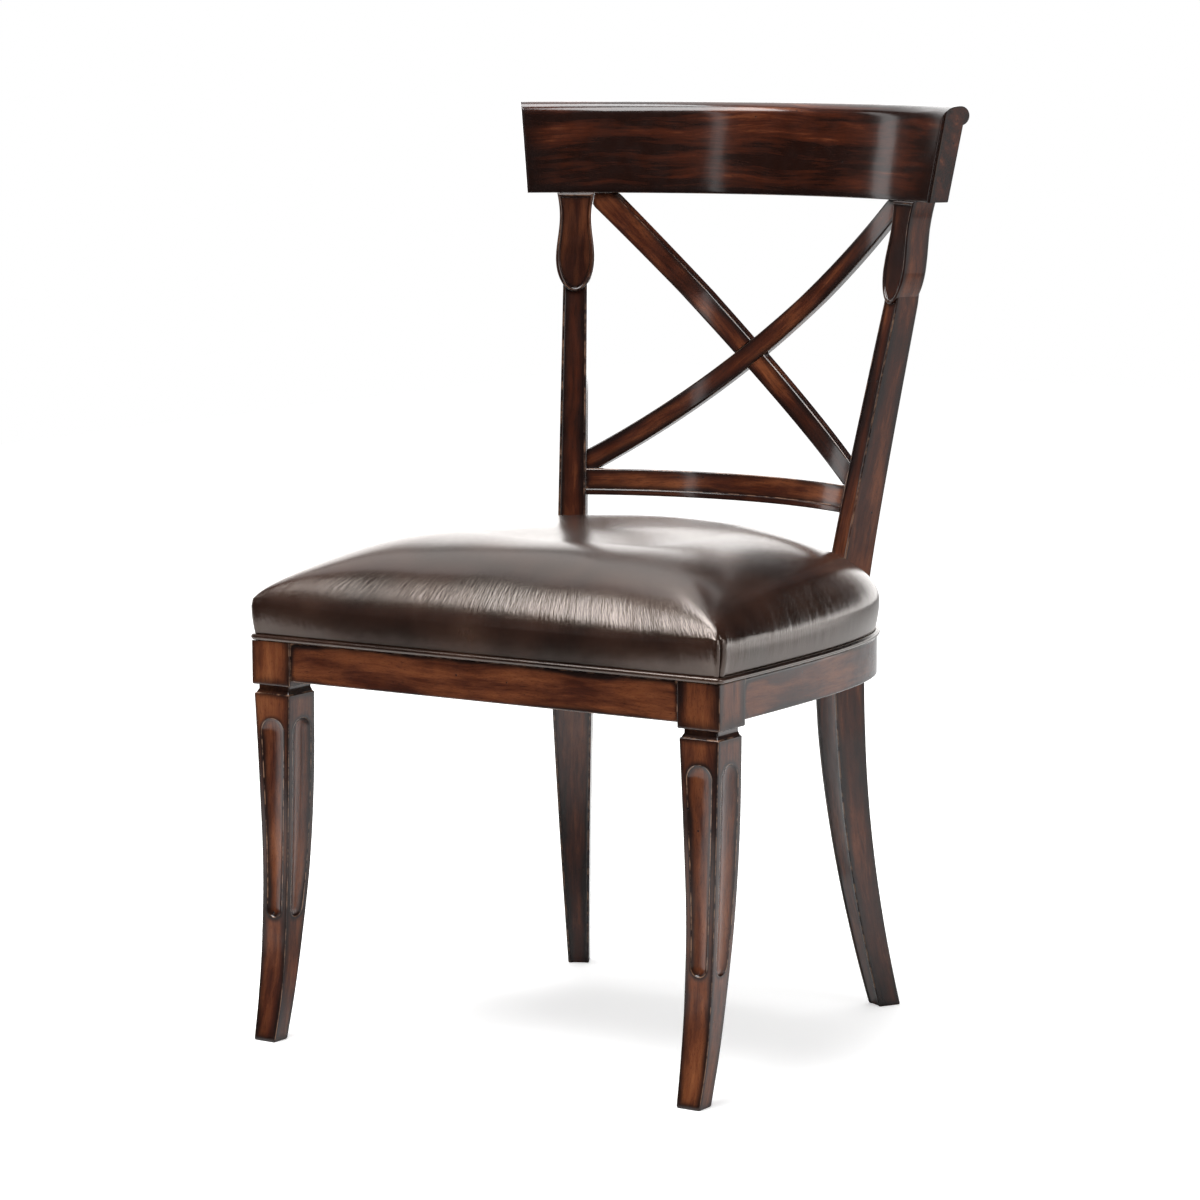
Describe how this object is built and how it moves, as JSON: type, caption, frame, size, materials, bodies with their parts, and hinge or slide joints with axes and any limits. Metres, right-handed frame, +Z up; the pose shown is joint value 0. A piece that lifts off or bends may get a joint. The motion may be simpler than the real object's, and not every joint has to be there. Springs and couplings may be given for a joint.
{
  "type": "klismos dining chair",
  "caption": "Wooden dining chair with sabre legs, a curved back of crossed slats under a scrolled crest rail, and a crowned leather seat edged with piping.",
  "frame": {"origin": "middle of the footprint, on the floor under the chair", "axes": "+Z up, -Y towards the front of the chair, +X to the right of someone looking at its front"},
  "size_m": [0.5582, 0.5918, 0.935],
  "materials": {
    "stained_wood": "dark red-brown stain under satin lacquer, near black in the glazed edges",
    "plain_wood": "unfinished beech and plywood, hidden inside the frame",
    "leather": "smooth dark brown leather with a broad satin shine",
    "foam": "open-cell foam, hidden under the cover",
    "cloth": "thin black woven dust cover",
    "steel": "zinc-plated screws"
  },
  "bodies": {
    "root": {"back_rail_dowel_1_left": "plain_wood", "back_rail_dowel_1_right": "plain_wood", "back_rail_dowel_2_left": "plain_wood", "back_rail_dowel_2_right": "plain_wood", "back_seat_rail": "stained_wood", "back_slat_front": "stained_wood", "back_slat_rear": "stained_wood", "crest_rail": "stained_wood", "dust_cover": "cloth", "front_block_screw_1_left": "steel", "front_block_screw_1_right": "steel", "front_block_screw_2_left": "steel", "front_block_screw_2_right": "steel", "front_corner_block_left": "plain_wood", "front_corner_block_right": "plain_wood", "front_leg_left": "stained_wood", "front_leg_right": "stained_wood", "front_rail_dowel_1_left": "plain_wood", "front_rail_dowel_1_right": "plain_wood", "front_rail_dowel_2_left": "plain_wood", "front_rail_dowel_2_right": "plain_wood", "front_seat_rail": "stained_wood", "front_seat_screw_left": "steel", "front_seat_screw_right": "steel", "leather_cover": "leather", "lower_back_rail": "stained_wood", "piping_back": "leather", "piping_front": "leather", "rear_block_screw_1_left": "steel", "rear_block_screw_1_right": "steel", "rear_block_screw_2_left": "steel", "rear_block_screw_2_right": "steel", "rear_corner_block_left": "plain_wood", "rear_corner_block_right": "plain_wood", "rear_leg_left": "stained_wood", "rear_leg_right": "stained_wood", "rear_seat_screw_left": "steel", "rear_seat_screw_right": "steel", "seat_board": "plain_wood", "seat_pad": "foam", "side_rail_front_dowel_1_left": "plain_wood", "side_rail_front_dowel_1_right": "plain_wood", "side_rail_front_dowel_2_left": "plain_wood", "side_rail_front_dowel_2_right": "plain_wood", "side_rail_rear_dowel_1_left": "plain_wood", "side_rail_rear_dowel_1_right": "plain_wood", "side_rail_rear_dowel_2_left": "plain_wood", "side_rail_rear_dowel_2_right": "plain_wood", "side_seat_rail_left": "stained_wood", "side_seat_rail_right": "stained_wood"}
  },
  "joints": []
}
